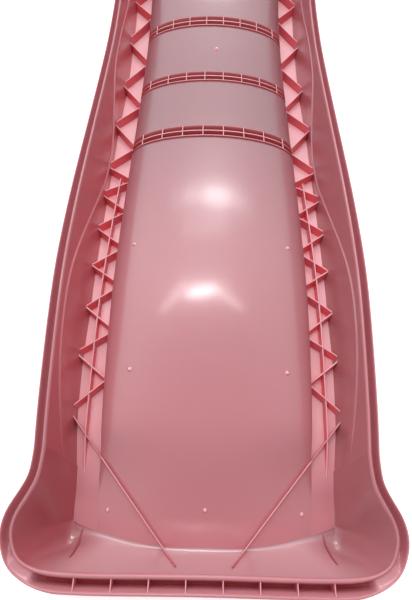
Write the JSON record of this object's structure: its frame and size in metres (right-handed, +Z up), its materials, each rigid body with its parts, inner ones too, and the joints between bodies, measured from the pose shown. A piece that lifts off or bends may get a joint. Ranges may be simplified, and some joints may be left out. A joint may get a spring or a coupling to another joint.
{
  "type": "toddler slide chute",
  "caption": "Moulded plastic chute of a small play slide, ribbed underside up: crowned bed between rail tops, grooved side skirts and a flared exit lip.",
  "frame": {"origin": "middle of the chute's footprint, on the floor that it rests on", "axes": "+Z up, out of the ribbed underside, with the chute lying on its rail tops; +Y along the chute from the exit to the top end; +X to the right of someone who looks along +Y"},
  "size_m": [0.459, 1.174, 0.1509],
  "materials": {
    "pink_plastic": "gloss",
    "rose_plastic": "gloss",
    "deep_rose_plastic": "gloss",
    "pale_pink_plastic": "gloss"
  },
  "bodies": {
    "root": {"bed_panel_1": "pink_plastic", "bed_panel_2": "pink_plastic", "bed_panel_3": "pink_plastic", "bed_panel_4": "pink_plastic", "bed_panel_5": "pink_plastic", "left_rail_top": "pale_pink_plastic", "right_rail_top": "pale_pink_plastic", "left_side_skirt": "rose_plastic", "right_side_skirt": "rose_plastic", "left_side_rim": "deep_rose_plastic", "right_side_rim": "deep_rose_plastic", "exit_lip": "pink_plastic", "exit_rim": "deep_rose_plastic", "exit_rim_rib_1": "pale_pink_plastic", "exit_rim_rib_2": "pale_pink_plastic", "exit_rim_rib_3": "pale_pink_plastic", "exit_rim_rib_4": "pale_pink_plastic", "exit_rim_rib_5": "pale_pink_plastic", "exit_rim_rib_6": "pale_pink_plastic", "exit_rim_rib_7": "pale_pink_plastic", "exit_rim_rib_8": "pale_pink_plastic", "ladder_rib_lower": "pale_pink_plastic", "ladder_rib_middle": "pale_pink_plastic", "ladder_rib_upper": "pale_pink_plastic", "left_zigzag_upper": "pale_pink_plastic", "right_zigzag_upper": "pale_pink_plastic", "left_zigzag_lower": "pale_pink_plastic", "right_zigzag_lower": "pale_pink_plastic", "left_keel_end": "pale_pink_plastic", "right_keel_end": "pale_pink_plastic", "left_diagonal_brace": "pale_pink_plastic", "right_diagonal_brace": "pale_pink_plastic", "ejector_boss_1": "pale_pink_plastic", "ejector_boss_2": "pale_pink_plastic", "ejector_boss_3": "pale_pink_plastic", "ejector_boss_4": "pale_pink_plastic", "ejector_boss_5": "pale_pink_plastic", "ejector_boss_6": "pale_pink_plastic", "ejector_boss_7": "pale_pink_plastic", "gate_boss": "pale_pink_plastic", "top_end_wall": "rose_plastic", "top_rim": "deep_rose_plastic"}
  },
  "joints": []
}
